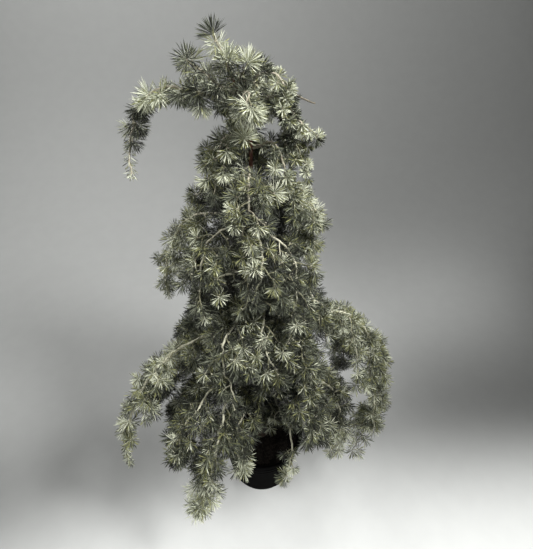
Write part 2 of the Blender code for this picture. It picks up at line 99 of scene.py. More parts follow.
def new_finish(name, base, roughness, specular=None):
    """A material, its node tree and its Principled shader, with the base values set."""
    made = bpy.data.materials.new(name)
    made.use_nodes = True
    made.diffuse_color = colour(base)
    shader = made.node_tree.nodes["Principled BSDF"]
    shader.inputs["Base Color"].default_value = colour(base)
    shader.inputs["Roughness"].default_value = roughness
    if specular is not None:
        shader.inputs["Specular IOR Level"].default_value = specular
    return made, made.node_tree, shader


def mottled(name, base, roughness, size_mm, first, second, rough, depth_mm,
            stretch=(1, 1, 1), detail=4.0, specular=None):
    """A finish that varies in patches of a real size: colour, roughness and depth."""
    finish, tree, shader = new_finish(name, base, roughness, specular)
    place = add_node(tree, "TexCoord").outputs["Object"]
    place = add_node(tree, "Mapping", {"Scale": stretch}, {"Vector": place}).outputs[0]
    patches = add_node(tree, "TexNoise", {"Scale": 1000.0 / size_mm, "Detail": detail},
                       {"Vector": place})
    spread = add_node(tree, "MapRange", {"From Min": 0.35, "From Max": 0.65},
                      {"Value": patches.outputs[0]})
    mix = add_node(tree, "Mix", {"data_type": "RGBA", 6: colour(first), 7: colour(second)},
                   {0: spread.outputs[0]})
    tree.links.new(mix.outputs[2], shader.inputs["Base Color"])
    pattern, (low, high) = patches.outputs[0], rough
    worn = add_node(tree, "MapRange", {"To Min": low, "To Max": high}, {"Value": pattern})
    tree.links.new(worn.outputs[0], shader.inputs["Roughness"])
    bump = add_node(tree, "Bump", {"Strength": 0.6, "Distance": depth_mm / 1000},
                    {"Height": pattern})
    tree.links.new(bump.outputs[0], shader.inputs["Normal"])
    return finish


def add_object(name, mesh, finishes):
    for finish in finishes:
        mesh.materials.append(finish)
    made = bpy.data.objects.new(name, mesh)
    bpy.context.scene.collection.objects.link(made)
    return made


def mesh_of(name, points, faces, finish_of=None, smooth=True):
    """A mesh from an array of points and one of faces, all with as many corners."""
    corners = faces.shape[1]
    mesh = bpy.data.meshes.new(name)
    mesh.vertices.add(len(points))
    mesh.vertices.foreach_set("co", np.asarray(points, np.float32).ravel())
    mesh.loops.add(faces.size)
    mesh.loops.foreach_set("vertex_index", np.asarray(faces, np.int32).ravel())
    mesh.polygons.add(len(faces))
    mesh.polygons.foreach_set("loop_start", np.arange(0, faces.size, corners, dtype=np.int32))
    mesh.polygons.foreach_set("use_smooth", np.full(len(faces), smooth))
    if finish_of is not None:
        mesh.polygons.foreach_set("material_index", np.asarray(finish_of, np.int32))
    mesh.update(calc_edges=True)
    return mesh


def grid_faces(rows, columns, wrap=True):
    """Quads of a grid of points, row by row. Wrapped, each row closes into a ring."""
    across = columns if wrap else columns - 1
    row, column = np.meshgrid(np.arange(rows - 1), np.arange(across), indexing="ij")
    beside = (column + 1) % columns
    corners = (row * columns + column, row * columns + beside,
               (row + 1) * columns + beside, (row + 1) * columns + column)
    return np.stack(corners, -1).reshape(-1, 4)


def paper_profile():
    """The paper's line from its front edge over the floor, round the bend and up."""
    bend = [radians(a) for a in range(0, 91, 5)]
    floor = [(y, 0.0) for y in np.linspace(PAPER_FRONT, PAPER_BEND, 8)[:-1]]
    curve = [(PAPER_BEND + PAPER_BEND_RADIUS * sin(a), PAPER_BEND_RADIUS * (1 - cos(a)))
             for a in bend]
    return np.array(floor + curve + [(curve[-1][0], PAPER_TOP)])


def lay_paper():
    profile = paper_profile()
    sides = np.linspace(-PAPER_HALF_WIDTH, PAPER_HALF_WIDTH, 11)
    points = [(x, y, z) for y, z in profile for x in sides]
    mesh = mesh_of("paper", np.array(points), grid_faces(len(profile), len(sides), False))
    # Matt background paper: pale, with a faint tooth that breaks up the light.
    finish = mottled("matt_background_paper", "#8f908e", 0.9, 60, "#8e8f8d", "#90918f",
                     rough=(0.85, 0.95), depth_mm=0.1, detail=2.0)
    made = add_object("background_paper", mesh, [finish])
    made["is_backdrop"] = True


def aim(name, place, target, watts, beam, blend, radius):
    """A round spot that faces a point: beam in degrees, soft edge and radius."""
    light = bpy.data.lights.new(name, "SPOT")
    light.energy = watts
    light.spot_size = radians(beam)
    light.spot_blend = blend
    light.shadow_soft_size = radius
    made = bpy.data.objects.new(name, light)
    made.location = place
    made.rotation_euler = (Vector(target) - Vector(place)).to_track_quat("-Z", "Y").to_euler()
    bpy.context.scene.collection.objects.link(made)


def set_camera():
    lens = bpy.data.cameras.new("camera")
    lens.sensor_width = 36.0
    lens.lens = lens.sensor_width * FOCAL_PIXELS / FRAME_HEIGHT
    made = bpy.data.objects.new("camera", lens)
    made.location = CAMERA_PLACE
    made.rotation_euler = (radians(90 - CAMERA_PITCH), 0, 0)
    bpy.context.scene.collection.objects.link(made)
    bpy.context.scene.camera = made


def set_world(hex_code, strength):
    world = bpy.data.worlds.new("studio_air")
    world.use_nodes = True
    air = world.node_tree.nodes["Background"]
    air.inputs["Color"].default_value = colour(hex_code)
    air.inputs["Strength"].default_value = strength
    bpy.context.scene.world = world


set_camera()
lay_paper()
set_world("#dcdcd8", 0.014)
aim("key_lamp", (0.92, -0.52, 2.42), (-0.02, 0.0, 1.22), 298, 62, 1.0, 0.24)
aim("left_fill", (-1.35, -0.35, 2.00), (-0.05, 0.0, 1.03), 124, 50, 1.0, 0.30)
aim("back_lamp", (-0.55, 1.95, 1.95), (0.0, 0.0, 0.62), 165, 44, 1.0, 0.35)
aim("floor_lamp", (0.90, -5.50, 8.00), (0.90, -5.50, 0.0), 12500, 70.2, 0.09, 0.20)
aim("backdrop_lamp", (-0.95, 0.70, 3.0), (-1.00, 2.6, 0.45), 350, 108, 0.25, 0.25)
aim("side_lamp", (1.30, 0.90, 2.7), (0.78, 0.24, 0.0), 120, 48, 1.0, 0.25)
bpy.context.scene.view_settings.view_transform = "Standard"


# The pot: a round nursery pot of black polypropylene, injection moulded in one piece. It has
# a turned-over lip, two moulded rings below it, a rounded foot and eight drain notches.
_, POT_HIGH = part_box("pot")
POT_RIM_RADIUS = POT_HIGH.x
POT_HEIGHT = POT_HIGH.z
POT_LIP_DEPTH = 0.004
POT_LIP_HEIGHT = 0.014
POT_WALL = 0.0025
POT_BASE_RADIUS = 0.110
POT_STEPS = 192
POT_OUTSIDE_ROWS = 22
ARC_STEPS = 5
BEAD_PROUD = 0.0009
DRAIN_NOTCHES = 8
NOTCH_SHARE = 0.09
NOTCH_DEPTH = 0.0018
NOTCH_MIDDLE = 0.010
NOTCH_HALF_HEIGHT = 0.007


def pot_radius(z):
    """Outer radius of the tapering wall."""
    top = POT_RIM_RADIUS - POT_LIP_DEPTH
    return POT_BASE_RADIUS + (top - POT_BASE_RADIUS) * z / POT_HEIGHT


def arc(r, z, radius, first, last):
    """Points on a round corner, in degrees from straight out."""
    turns = [radians(first + (last - first) * k / ARC_STEPS) for k in range(ARC_STEPS + 1)]
    return [(r + radius * cos(a), z + radius * sin(a)) for a in turns]


def ring_bead(z):
    """A low moulded ring on the wall, as a half-round bead."""
    return [(pot_radius(z + h) + BEAD_PROUD * cos(pi * h / 0.005), z + h)
            for h in (-0.0025, -0.0015, -0.0006, 0.0006, 0.0015, 0.0025)]


def pot_profile():
    """The pot's section: up the outside, over the lip and down to the floor inside."""
    lip_foot = POT_HEIGHT - POT_LIP_HEIGHT
    inside = POT_RIM_RADIUS - POT_LIP_DEPTH - POT_WALL
    outer = [(0.0, 0.0022), (0.088, 0.0022), (0.0895, 0.0012), (0.091, 0.0)]
    outer += arc(POT_BASE_RADIUS - 0.004, 0.004, 0.004, -80, 0)
    outer += [(pot_radius(z), z) for z in np.linspace(0.012, 0.168, 14)]
    outer += ring_bead(0.176) + [(pot_radius(0.186), 0.186)]
    outer += ring_bead(0.196) + [(pot_radius(0.210), 0.210), (pot_radius(0.222), 0.222)]
    outer += arc(POT_RIM_RADIUS - 0.0016, lip_foot + 0.0016, 0.0016, -90, 0)
    outer += [(POT_RIM_RADIUS - 0.0002, lip_foot + 0.007)]
    outer += arc(POT_RIM_RADIUS - 0.0020, POT_HEIGHT - 0.0020, 0.0020, 0, 90)
    inner = arc(inside + 0.0015, POT_HEIGHT - 0.0015, 0.0015, 90, 180)
    inner += [(pot_radius(z) - POT_WALL, z) for z in np.linspace(0.225, 0.004, 12)]
    return np.array(outer + inner + [(0.0, 0.004)])


def pot_finish():
    """Moulded polypropylene: near black, and darker still as painted shade; its satin shine almost
    gone under dust.
    """
    finish = mottled("moulded_polypropylene", "#030303", 0.5, 34, "#020202", "#060505",
                     rough=(0.60, 0.85), depth_mm=0.25, stretch=(1, 1, 0.45), detail=6.0,
                     specular=0.015)
    finish.node_tree.nodes["Principled BSDF"].inputs["IOR"].default_value = 1.45
    return finish


def join_centres(mesh):
    """Joins the points of a ring that has shrunk to its centre, so no face is empty."""
    shape = bmesh.new()
    shape.from_mesh(mesh)
    bmesh.ops.remove_doubles(shape, verts=shape.verts, dist=1e-6)
    shape.to_mesh(mesh)
    shape.free()
    return mesh


def full_turn(steps):
    return np.linspace(0, 2 * pi, steps, endpoint=False)


def make_pot():
    profile = pot_profile()
    turns = full_turn(POT_STEPS)
    radius, height = profile[:, 0, None], profile[:, 1, None]
    apart = np.abs((turns * DRAIN_NOTCHES / (2 * pi)) % 1 - 0.5)
    notch = np.exp(-((apart / NOTCH_SHARE) ** 4))
    outside = (np.arange(len(profile)) < POT_OUTSIDE_ROWS)[:, None]
    low = np.exp(-((height - NOTCH_MIDDLE) / NOTCH_HALF_HEIGHT) ** 4) * outside
    radius = radius - NOTCH_DEPTH * notch[None, :] * low
    points = np.stack((radius * np.cos(turns), radius * np.sin(turns),
                       height * np.ones_like(turns)), -1).reshape(-1, 3)
    faces = grid_faces(len(profile), POT_STEPS)
    mesh = join_centres(mesh_of("nursery_pot", points, faces))
    made = add_object("nursery_pot", mesh, [pot_finish()])
    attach(made, "root")
    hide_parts("pot")


make_pot()


# The compost: a dark mix of peat and fine bark, filled to 28 mm under the rim, and firmed
# round the stem. Bark chips and crumbs lie loose on it.
SOIL_LOW, SOIL_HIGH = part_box("compost")
SOIL_RADIUS = SOIL_HIGH.x - 0.0004
SOIL_TOP = SOIL_HIGH.z
SOIL_SETTLED = 0.0035
SOIL_DROP = 0.006
SOIL_FLAT = 0.045
SOIL_RINGS = 64
SOIL_STEPS = 160
LUMP_MOST = 0.003
CHIP_COUNT = 900
CHIP_LENGTHS = (0.004, 0.013)
CHIP_WIDTHS = (0.002, 0.006)
CHIP_THICKNESSES = (0.0008, 0.0022)
CHIP_EDGE_ROOM = 0.008
CHIP_LIFT = 0.0006


def share_of(value, span):
    """How much of a span a value fills, from 0 to 1."""
    return min(1.0, max(0.0, value / span))


def soil_height(x, y):
    """The compost's surface: a shallow dome with crumbs of 3 to 12 mm."""
    r = (x * x + y * y) ** 0.5
    dome = SOIL_TOP - SOIL_SETTLED - SOIL_DROP * share_of(r - SOIL_FLAT, SOIL_RADIUS - SOIL_FLAT)
    lumps = 0.0022 * noise.noise((x * 90, y * 90, 1.5))
    lumps += 0.0012 * noise.noise((x * 260, y * 260, 4))
    return dome + min(LUMP_MOST, lumps)


def chip_points(chance):
    """One bark chip: an uneven little slab with cut ends."""
    length, width = chance.uniform(*CHIP_LENGTHS), chance.uniform(*CHIP_WIDTHS)
    thick = chance.uniform(*CHIP_THICKNESSES)
    ring = [(-1, -1), (-0.2, -1.2), (1, -0.7), (1.1, 0.5), (0.1, 1.1), (-1.1, 0.8)]
    points = [(0.5 * length * (x + chance.uniform(-0.2, 0.2)),
               0.5 * width * (y + chance.uniform(-0.2, 0.2)), side * 0.5 * thick)
              for side in (-1, 1) for x, y in ring]
    turn, tip, roll = chance.uniform(0, 2 * pi), chance.gauss(0, 0.3), chance.gauss(0, 0.3)
    spin = Vector((tip, roll, turn))
    return np.array([rotated(p, spin) for p in points])


def rotated(point, angles):
    """A point turned about X, Y and Z by three angles."""
    x, y, z = point
    a, b, c = angles
    y, z = y * cos(a) - z * sin(a), y * sin(a) + z * cos(a)
    x, z = x * cos(b) + z * sin(b), z * cos(b) - x * sin(b)
    return x * cos(c) - y * sin(c), x * sin(c) + y * cos(c), z


def chip_faces():
    """Triangles of a six-sided slab: its edge, top and underside."""
    side = [(k, (k + 1) % 6, 6 + (k + 1) % 6) for k in range(6)]
    side += [(k, 6 + (k + 1) % 6, 6 + k) for k in range(6)]
    top = [(6, 6 + k, 7 + k) for k in range(1, 5)]
    under = [(0, k + 1, k) for k in range(1, 5)]
    return np.array(side + top + under)


def make_compost():
    turns = full_turn(SOIL_STEPS)
    rows = []
    for k in range(SOIL_RINGS + 1):
        r = SOIL_RADIUS * (k / SOIL_RINGS) ** 0.8
        rows += [(r * cos(a), r * sin(a), soil_height(r * cos(a), r * sin(a))) for a in turns]
    foot = SOIL_LOW.z
    narrowing = POT_RIM_RADIUS - POT_LIP_DEPTH - POT_BASE_RADIUS
    wall = SOIL_RADIUS - (SOIL_TOP - foot) * narrowing / POT_HEIGHT
    for r in (wall, 0.0):
        rows += [(r * cos(a), r * sin(a), foot) for a in turns]
    faces = grid_faces(SOIL_RINGS + 3, SOIL_STEPS)
    mesh = join_centres(mesh_of("compost", np.array(rows), faces))
    # Peat and composted bark, almost black with brown fibres: partly its own damp colour, partly
    # painted shade inside the pot.
    dark_and_shaded_compost = mottled("damp_compost", "#080605", 0.95, 7, "#040302", "#0e0b08",
                   rough=(0.85, 1.0), depth_mm=1.5, detail=8.0, specular=0.08)
    surface = add_object("potting_compost", mesh, [dark_and_shaded_compost])
    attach(surface, "root")
    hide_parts("compost")

    chance = random.Random("bark chips")
    points, faces = [], []
    for k in range(CHIP_COUNT):
        r = (SOIL_RADIUS - CHIP_EDGE_ROOM) * chance.random() ** 0.5
        a = chance.uniform(0, 2 * pi)
        x, y = r * cos(a), r * sin(a)
        points.append(chip_points(chance) + (x, y, soil_height(x, y) + CHIP_LIFT))
        faces.append(chip_faces() + 12 * k)
    mesh = mesh_of("chips", np.concatenate(points), np.concatenate(faces), smooth=False)
    # Shredded bark: brown and fibrous, paler where it has dried on top, and darkened near black as
    # painted shade inside the pot.
    bark = mottled("shredded_bark", "#0f0c09", 0.9, 5, "#0a0806", "#18130e", rough=(0.8, 0.95),
                   depth_mm=0.4, stretch=(1, 4, 1), detail=5.0, specular=0.12)
    chips = add_object("bark_chips", mesh, [bark])
    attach(chips, "root")


make_compost()


# The trunk: one straight young stem, flared at the foot, with two slight bends and a leader
# that nods to the left. Its bark is still smooth: brown-grey and finely furrowed low down,
# red-brown near the top, and swollen in a collar under each bough.
TRUNK_TOP = 1.378
TRUNK_FOOT_RADIUS = 0.0125
TRUNK_TOP_RADIUS = 0.0026
ROOT_FLARE = 0.010
ROOT_FLARE_HEIGHT = 0.022
TRUNK_BEND_X = 0.007
TRUNK_BEND_Y = 0.006
TRUNK_LEAN = 0.016
LEADER_NOD_FROM = 1.26
LEADER_NOD = 0.030
TRUNK_RINGS = 420
TRUNK_SIDES = 40
COLLAR_PROUD = 0.0016
COLLAR_HALF_HEIGHT = 0.009
COLLAR_HALF_TURN = 0.7
COLLAR_SEARCH = 0.03

# The boughs from the top down, in millimetres: name, height on the trunk, azimuth in degrees
# (0 is +X, 90 the back), reach, rise of the arch, drop of the tip, length of the longest side
# shoots and, where they aren't 0 and 1, the limb's bare share and its number of masses.
Bough = namedtuple("Bough", "name height azimuth reach rise drop spread bare masses",
                   defaults=(0, 1))
BOUGH_ROWS = (
    ("left_arm", 1305, 176, 214, 74, 104, 26, 0.22, 2),
    ("shawl_right", 1350, 352, 98, 50, 124, 22),
    ("top_left", 1345, 190, 78, 26, -58, 22),
    ("top_back", 1320, 88, 120, 45, 130, 50),
    ("top_front", 1345, 290, 48, 16, 12, 24),
    ("top_right", 1300, 25, 90, 50, 80, 34),
    ("neck_left", 1262, 200, 66, 26, 100, 42),
    ("neck_right", 1250, 340, 66, 26, 90, 42),
    ("neck_back", 1225, 118, 130, 35, 160, 65),
    ("neck_front", 1205, 262, 85, 18, 90, 55),
    ("shoulder_left", 1090, 178, 207, 35, 245, 50, 0.22, 2),
    ("shoulder_right", 1150, 8, 125, 35, 150, 50),
    ("shoulder_front", 1090, 276, 120, 20, 120, 80),
    ("shoulder_front_left", 1085, 226, 155, 30, 170, 78),
    ("shoulder_front_right", 1065, 318, 130, 25, 170, 72),
    ("shoulder_back_left", 1128, 135, 190, 40, 245, 75),
    ("shoulder_back_right", 1110, 58, 180, 40, 210, 75),
    ("waist_left", 935, 188, 152, 30, 190, 48),
    ("waist_right", 930, 343, 155, 30, 130, 60),
    ("waist_front_left", 900, 246, 190, 30, 180, 85),
    ("waist_front", 880, 280, 160, 25, 150, 88),
    ("waist_front_right", 850, 315, 180, 25, 170, 88),
    ("waist_back_left", 910, 118, 230, 40, 260, 85),
    ("waist_back_right", 890, 70, 220, 40, 250, 85),
    ("skirt_far_left", 745, 208, 412, 85, 375, 55, 0.18, 2),
    ("skirt_left", 670, 184, 325, 45, 260, 85, 0.18),
    ("skirt_front_left", 690, 228, 315, 40, 176, 80, 0.18),
    ("skirt_front", 660, 245, 345, 45, 285, 50, 0.20, 2),
    ("skirt_middle", 600, 258, 235, 35, 150, 55, 0.22),
    ("skirt_dangle", 580, 284, 245, 35, 176, 40, 0.22),
    ("skirt_front_right", 700, 304, 240, 40, 190, 75),
    ("skirt_right", 755, 356, 345, 135, 405, 80, 0.18, 2),
    ("skirt_right_low", 620, 335, 255, 40, 218, 80),
    ("skirt_back_right", 700, 28, 335, 60, 380, 85),
    ("skirt_back", 720, 92, 320, 60, 400, 85),
    ("skirt_back_left", 680, 140, 330, 60, 380, 85),
    ("hem_left", 560, 188, 270, 30, 240, 80),
    ("hem_right", 500, 4, 265, 30, 190, 70),
    ("hem_front", 500, 276, 110, 24, 40, 35),
    ("hem_back", 500, 110, 250, 30, 220, 75),
)
BOUGHS = [Bough(name, height / 1000, azimuth, *[mm / 1000 for mm in rest[:4]], *rest[4:])
          for name, height, azimuth, *rest in BOUGH_ROWS]


def trunk_centre(z):
    """The trunk's centreline: two slight bends, then the leader nods towards -X."""
    along = (z - SOIL_TOP) / (TRUNK_TOP - SOIL_TOP)
    nod = max(0.0, (z - LEADER_NOD_FROM) / (TRUNK_TOP - LEADER_NOD_FROM))
    x = TRUNK_BEND_X * sin(2.2 * pi * along) - TRUNK_LEAN * along**3 - LEADER_NOD * nod**1.4
    y = TRUNK_BEND_Y * sin(1.6 * pi * along) * along
    return np.array((x, y, z))


def trunk_radius(z):
    along = (z - SOIL_TOP) / (TRUNK_TOP - SOIL_TOP)
    taper = TRUNK_FOOT_RADIUS + (TRUNK_TOP_RADIUS - TRUNK_FOOT_RADIUS) * along**0.85
    return taper + ROOT_FLARE * 2.718 ** (-(z - SOIL_TOP) / ROOT_FLARE_HEIGHT)


def bark_relief(z, turn):
    """How far the bark stands proud, as a share of the radius: furrows and pores."""
    old = 1 - (z - SOIL_TOP) / (TRUNK_TOP - SOIL_TOP)
    around = (2.2 * cos(turn), 2.2 * sin(turn), z * 26)
    furrow = 0.10 * old * (0.5 - abs(noise.noise(around)) * 2.2)
    fine = 0.035 * noise.noise((6 * cos(turn), 6 * sin(turn), z * 110))
    pores = 0.05 * max(0.0, noise.noise((4 * cos(turn), 4 * sin(turn), z * 420)) - 0.25)
    return furrow + fine + pores


def blend_up(finish, upper, start, end, most=1.0):
    """Mixes a second colour in with height, from one height in metres to another."""
    tree = finish.node_tree
    base = tree.nodes["Principled BSDF"].inputs["Base Color"]
    lower = base.links[0].from_socket
    height = add_node(tree, "SeparateXYZ", None, {0: add_node(tree, "TexCoord").outputs["Object"]})
    share = add_node(tree, "MapRange", {"From Min": start, "From Max": end, "To Max": most},
                     {"Value": height.outputs["Z"]})
    mix = add_node(tree, "Mix", {"data_type": "RGBA", 7: colour(upper)},
                   {0: share.outputs[0], 6: lower})
    tree.links.new(mix.outputs[2], base)


def bark_finish():
    """Young cedar bark: thin and dull, grey-brown below and red-brown near the leader."""
    finish = mottled("young_cedar_bark", "#3d3128", 0.82, 6, "#2a221c", "#4d3e33",
                     rough=(0.7, 0.92), depth_mm=0.5, stretch=(1, 1, 0.25), detail=7.0)
    blend_up(finish, "#553529", 1.05, 1.22)
    return finish


def make_trunk():
    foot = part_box("trunk")[0].z
    share = np.linspace(0, 1, TRUNK_RINGS) ** 1.15
    turns = full_turn(TRUNK_SIDES)
    points = []
    for z in foot + (TRUNK_TOP - foot) * share:
        centre, radius = trunk_centre(z), trunk_radius(z)
        near = [b for b in BOUGHS if abs(b.height - z) < COLLAR_SEARCH]
        for turn in turns:
            proud = radius * bark_relief(z, turn)
            for b in near:
                apart = (turn - radians(b.azimuth) + pi) % (2 * pi) - pi
                below = (z - b.height + 0.003) / COLLAR_HALF_HEIGHT
                proud += COLLAR_PROUD * exp(-below ** 2 - (apart / COLLAR_HALF_TURN) ** 2)
            r = radius + proud
            points.append((centre[0] + r * cos(turn), centre[1] + r * sin(turn), z))
    top, bottom = trunk_centre(TRUNK_TOP), trunk_centre(foot)
    points = [tuple(bottom)] * TRUNK_SIDES + points + [tuple(top)] * TRUNK_SIDES
    faces = grid_faces(TRUNK_RINGS + 2, TRUNK_SIDES)
    mesh = join_centres(mesh_of("trunk", np.array(points), faces))
    made = add_object("trunk_bark", mesh, [bark_finish()])
    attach(made, "root")
    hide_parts("trunk")


make_trunk()


# The boughs: thin tapering limbs that leave the trunk level, arch over and weep. Their bark is
# pale grey-tan and finely wrinkled, with a swelling under each tuft of needles.
SEED = 41
BOUGH_EASE = 1.7
BOUGH_COLLAR = 0.006
BOUGH_FOOT_RADIUS = 0.0046
STEM_TIP_RADIUS = 0.0017
STEM_TAPER = 0.6
WANDER = 0.022
RING_PITCH = 0.0045
SINUOUS = 0.0028
BOUGH_SIDES = 9
LEADER_STEPS = 12
LEADER_LENGTH = 0.062
Shoot = namedtuple("Shoot", "bough line radii share order")


class Pile:
    """Gathers the points and triangles of many small pieces for one joined mesh."""

    def __init__(self):
        self.points, self.faces, self.finish_of, self.count = [], [], [], 0

    def add(self, points, faces, finish=0):
        self.points.append(points)
        self.faces.append(faces + self.count)
        self.finish_of.append(np.full(len(faces), finish))
        self.count += len(points)

    def mesh(self, name, smooth=True):
        return mesh_of(name, np.concatenate(self.points), np.concatenate(self.faces),
                       np.concatenate(self.finish_of), smooth)


def dice(label):
    """A piece's own source of chance, the same at every run."""
    return random.Random(f"{SEED} {label}")


def bells(chance, rows, columns):
    """A grid of draws from a bell curve."""
    return np.array([[chance.gauss(0, 1) for _ in range(columns)] for _ in range(rows)])


def unit(vector):
    return vector / max(1e-9, float(np.linalg.norm(vector)))


def tube(points, radii, sides, relief=None):
    """A tapering tube that doesn't twist, closed at both ends, as triangles."""
    along = np.gradient(points, axis=0)
    along /= np.linalg.norm(along, axis=1)[:, None]
    side = unit(np.cross(along[0], (0.31, 0.52, 0.79)))
    turns = full_turn(sides)
    rows = []
    for k, (point, heading, radius) in enumerate(zip(points, along, radii)):
        side = unit(side - heading * side.dot(heading))
        across = np.cross(heading, side)
        spread = radius * (1 + relief[k] if relief is not None else np.ones(sides))
        rows.append(point + (spread * np.cos(turns))[:, None] * side
                    + (spread * np.sin(turns))[:, None] * across)
    body = np.concatenate(rows + [points[:1], points[-1:]])
    quads = grid_faces(len(points), sides)
    first, last = len(body) - 2, len(body) - 1
    ring = np.arange(sides)
    beside = (ring + 1) % sides
    start = (len(points) - 1) * sides
    caps = [np.stack((np.full(sides, first), beside, ring), -1),
            np.stack((np.full(sides, last), start + ring, start + beside), -1)]
    return body, np.concatenate([quads[:, :3], quads[:, [0, 2, 3]], *caps])


def bough_radius(bough, s):
    """A bough's radius at share s of its line."""
    foot = min(BOUGH_FOOT_RADIUS, 0.0026 + 0.006 * bough.reach)
    foot = min(foot, 0.75 * trunk_radius(bough.height))
    return foot + (STEM_TIP_RADIUS - foot) * s**STEM_TAPER


def bough_line(bough, s):
    """Where a bough runs: out of the bark level, up over an arch, and down to its tip."""
    chance = dice(bough.name)
    phase = chance.uniform(0, 2 * pi)
    waves = chance.uniform(0.9, 1.5)
    wander = WANDER * min(1.0, bough.reach / 0.2)
    turn = radians(bough.azimuth)
    out = np.array((cos(turn), sin(turn), 0.0))
    side = np.array((-sin(turn), cos(turn), 0.0))
    start = trunk_radius(bough.height)
    collar = BOUGH_COLLAR * np.minimum(1, 12 * s)
    r = start + collar + (bough.reach - start) * (1 - (1 - s) ** BOUGH_EASE)
    z = 4 * bough.rise * s * (1 - s) - bough.drop * s * s
    sway = wander * s * (np.sin(2 * pi * waves * s + phase) - sin(phase))
    root = trunk_centre(bough.height)
    return root + r[:, None] * out + sway[:, None] * side + z[:, None] * UP


def lengths(line):
    """The length of each step of a line, and how far along it each point lies."""
    steps = np.linalg.norm(np.diff(line, axis=0), axis=1)
    return steps, np.concatenate(([0.0], np.cumsum(steps)))


def evenly(line, pitch):
    """The same line with points at an even pitch."""
    _, gone = lengths(line)
    count = max(3, round(gone[-1] / pitch))
    marks = np.linspace(0, gone[-1], count + 1)
    return np.stack([np.interp(marks, gone, line[:, k]) for k in range(3)], -1)


def jog(line, chance, size):
    """Small kinks, as where a shoot changes course at each tuft, none at its root."""
    count = len(line)
    knots = bells(chance, count, 3)
    knots = (knots + np.roll(knots, 1, 0) + np.roll(knots, -1, 0)) / 1.8
    pitch = float(np.linalg.norm(line[1] - line[0]))
    along = np.arange(count) * pitch
    for wave in (0.075, 0.043):
        phase = [chance.uniform(0, 2 * pi) for _ in range(3)]
        swing = np.sin(2 * pi * along[:, None] / wave + phase) * (0.6, 0.6, 0.3)
        knots += SINUOUS / size * (wave / 0.075) * (swing - swing[0])
    fade = np.minimum(1.0, np.arange(count) / 4)
    return line + size * fade[:, None] * knots


def leader_line():
    """The leader above the trunk's tip, bent further to the left."""
    tip, before = trunk_centre(TRUNK_TOP), trunk_centre(TRUNK_TOP - 0.01)
    along = unit(tip - before)
    steps = np.linspace(0, 4, LEADER_STEPS + 1)
    bend = np.array((-0.0002, 0, 0))
    return tip + steps[:, None] * along * (LEADER_LENGTH / 4) + (steps**2)[:, None] * bend


def grow_boughs():
    """Every bough as one shoot, the leader first."""
    leader = Bough("leader", TRUNK_TOP, 180, 0.05, 0, 0, 0.012)
    line = leader_line()
    radii = np.linspace(TRUNK_TOP_RADIUS, STEM_TIP_RADIUS, len(line))
    grown = [Shoot(leader, line, radii, np.linspace(0, 1, len(line)), 0)]
    for bough in BOUGHS:
        line = evenly(bough_line(bough, np.linspace(0, 1, 80)), RING_PITCH)
        share = np.linspace(0, 1, len(line))
        line = jog(line, dice(f"{bough.name} kinks"), 0.0006)
        radii = np.array([bough_radius(bough, s) for s in share])
        grown.append(Shoot(bough, line, radii, share, 0))
    return grown


def stem_relief(chance, rings, sides, depth):
    """Wrinkles along a stem and an uneven swelling from ring to ring."""
    swell = bells(chance, rings, 1)
    wrinkle = bells(chance, 1, sides)
    grain = bells(chance, rings, sides)
    return depth * (0.9 * swell + 0.5 * wrinkle + 0.6 * grain)


def pale_bark_finish():
    """Bark of shoots under five years: thin, dry and grey-tan, wrinkled along its length."""
    finish = mottled("pale_shoot_bark", "#b3b29b", 0.78, 9, "#8f8e78", "#c8c6af",
                     rough=(0.66, 0.9), depth_mm=0.3, detail=6.0)
    blend_up(finish, "#8b8373", 0.95, 1.25, most=0.85)
    return finish


BOUGH_SHOOTS = grow_boughs()
PALE_BARK = pale_bark_finish()


def make_boughs():
    pile = Pile()
    for shoot in BOUGH_SHOOTS:
        chance = dice(f"{shoot.bough.name} bark")
        relief = stem_relief(chance, len(shoot.line), BOUGH_SIDES, 0.055)
        pile.add(*tube(shoot.line, shoot.radii, BOUGH_SIDES, relief))
    made = add_object("bough_bark", pile.mesh("boughs"), [PALE_BARK])
    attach(made, "root")
    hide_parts(*[f"{b.name}_bough" for b in BOUGHS if b.bare])


make_boughs()


# The side shoots: they leave a bough left and right at a slant, level out and hang. The longer
# ones fork once more. They are this and last year's wood, two to three millimetres thick.
SHOOT_PITCH = 0.0175
SHOOT_SHRINK = 0.62
SHOOTS_FROM = 0.016
SHOOT_DROOP = (0.35, 0.85)
OPEN_GROWN = {
    "skirt_right": 1.65, "skirt_far_left": 1.7, "skirt_back_right": 1.5, "hem_right": 1.4,
    "skirt_right_low": 1.25, "skirt_left": 1.15, "shoulder_left": 1.3, "left_arm": 1.2,
    "skirt_dangle": 4.0, "shawl_right": 1.35, "top_right": 1.3,
}
LONG_SHOOTS = {"skirt_right_low": 1.1, "skirt_right": 1.0, "hem_right": 1.3}
CURTAINS = {"skirt_right": (0.11, 0.050, 0.130), "shawl_right": (0.03, 0.030, 0.045)}
CROWN_SHOOTS = (
    (1.370, -0.0455, -0.012, 1.4020),
    (1.362, -0.0154, -0.020, 1.3988),
    (1.350, 0.0018, 0.000, 1.3830),
    (1.335, -0.0959, -0.030, 1.3592),
    (1.250, -0.0184, -0.040, 1.2805),
)
CROWN_SAG = 0.02
SHOOT_RADIUS = 0.0015
SHOOT_TIP_RADIUS = 0.0009
SHOOT_STEP = 0.007
END_ROOM = 0.006
UNEVEN = (0.75, 1.25)
CURTAIN_DROOP = (0.9, 1.3)
CURTAIN_MARGIN = 0.10
TWIG_PITCH = 0.022
TWIG_REACH = 0.034
TWIG_DROOP = (0.3, 0.7)
TWIG_RADIUS = 0.0011
TWIGS_FROM = 0.016
TWIGGED_LENGTH = 0.042
DEAD_TWIG = np.array((0.055, 0.000, -0.028))
DEAD_TWIG_RADII = (0.0023, 0.0014)
FLOOR_CLEAR = 0.03
SPACE_MARGIN = 0.016
TRUNK_CLEAR = 0.012
REACH_MARGIN = 0.022
